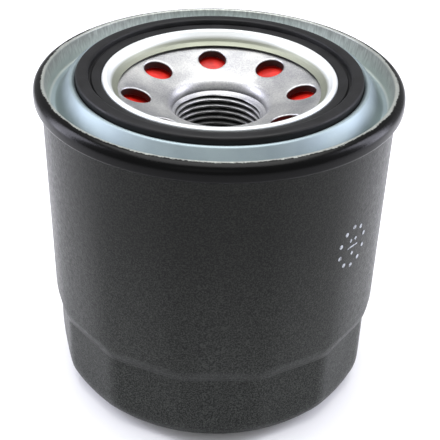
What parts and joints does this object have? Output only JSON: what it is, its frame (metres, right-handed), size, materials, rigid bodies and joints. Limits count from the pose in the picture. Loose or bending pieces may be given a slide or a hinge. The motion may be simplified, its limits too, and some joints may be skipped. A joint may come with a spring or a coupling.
{
  "type": "spin-on oil filter",
  "caption": "Spin-on oil filter for a small engine: painted steel canister with wrench flats, seamed lid, threaded base plate, rubber gasket and a pleated element.",
  "frame": {"origin": "centre of the closed end, on the face that the filter rests on", "axes": "+Z along the filter's axis towards the threaded end; +X and +Y are radial, with the first corner between wrench flats 2.8 degrees from +X"},
  "size_m": [0.08, 0.08, 0.0755],
  "materials": {
    "black_paint": "semi-gloss black enamel with a fine grain",
    "zinc_plate": "bright zinc plate on pressed steel sheet",
    "plain_steel": "satin plated steel, machine-cut thread",
    "nitrile_rubber": "satin moulded nitrile rubber",
    "red_silicone": "satin moulded silicone rubber",
    "tin_plate": "tinned steel sheet",
    "spring_steel": "oiled spring steel",
    "filter_paper": "resin-treated cellulose paper",
    "potting_adhesive": "cured plastisol adhesive",
    "seam_compound": "dried seam lining compound"
  },
  "bodies": {
    "housing": {"canister": "black_paint", "seaming_lid": "zinc_plate", "seam_compound": "seam_compound", "sealing_gasket": "nitrile_rubber", "base_plate": "plain_steel", "anti_drain_valve": "red_silicone", "support_spring": "spring_steel"},
    "drain_lip": {"anti_drain_lip": "red_silicone"},
    "element": {"top_end_cap": "tin_plate", "top_potting": "potting_adhesive", "pleated_media": "filter_paper", "media_clip": "tin_plate", "centre_tube": "tin_plate", "bottom_potting": "potting_adhesive", "bottom_end_cap": "tin_plate", "bypass_seat": "spring_steel", "bypass_cage": "tin_plate", "bypass_spring": "spring_steel"},
    "bypass_poppet": {"bypass_disc": "spring_steel", "bypass_seal": "nitrile_rubber"}
  },
  "joints": [
    {"name": "element_float", "type": "slide", "parent": "housing", "child": "element", "axis": [0, 0, 1], "range_m": [-0.0012, 0], "stiffness_N_per_m": 8000, "springref_m": 0.004, "deforming": ["support_spring"]},
    {"name": "bypass_lift", "type": "slide", "parent": "element", "child": "bypass_poppet", "axis": [0, 0, 1], "range_m": [0, 0.0025], "stiffness_N_per_m": 2500, "springref_m": -0.006, "deforming": ["bypass_spring"]},
    {"name": "drain_lip_flex", "type": "slide", "parent": "housing", "child": "drain_lip", "axis": [0, 0, 1], "range_m": [-0.0015, 0], "stiffness_N_per_m": 300, "springref_m": 0.001}
  ]
}
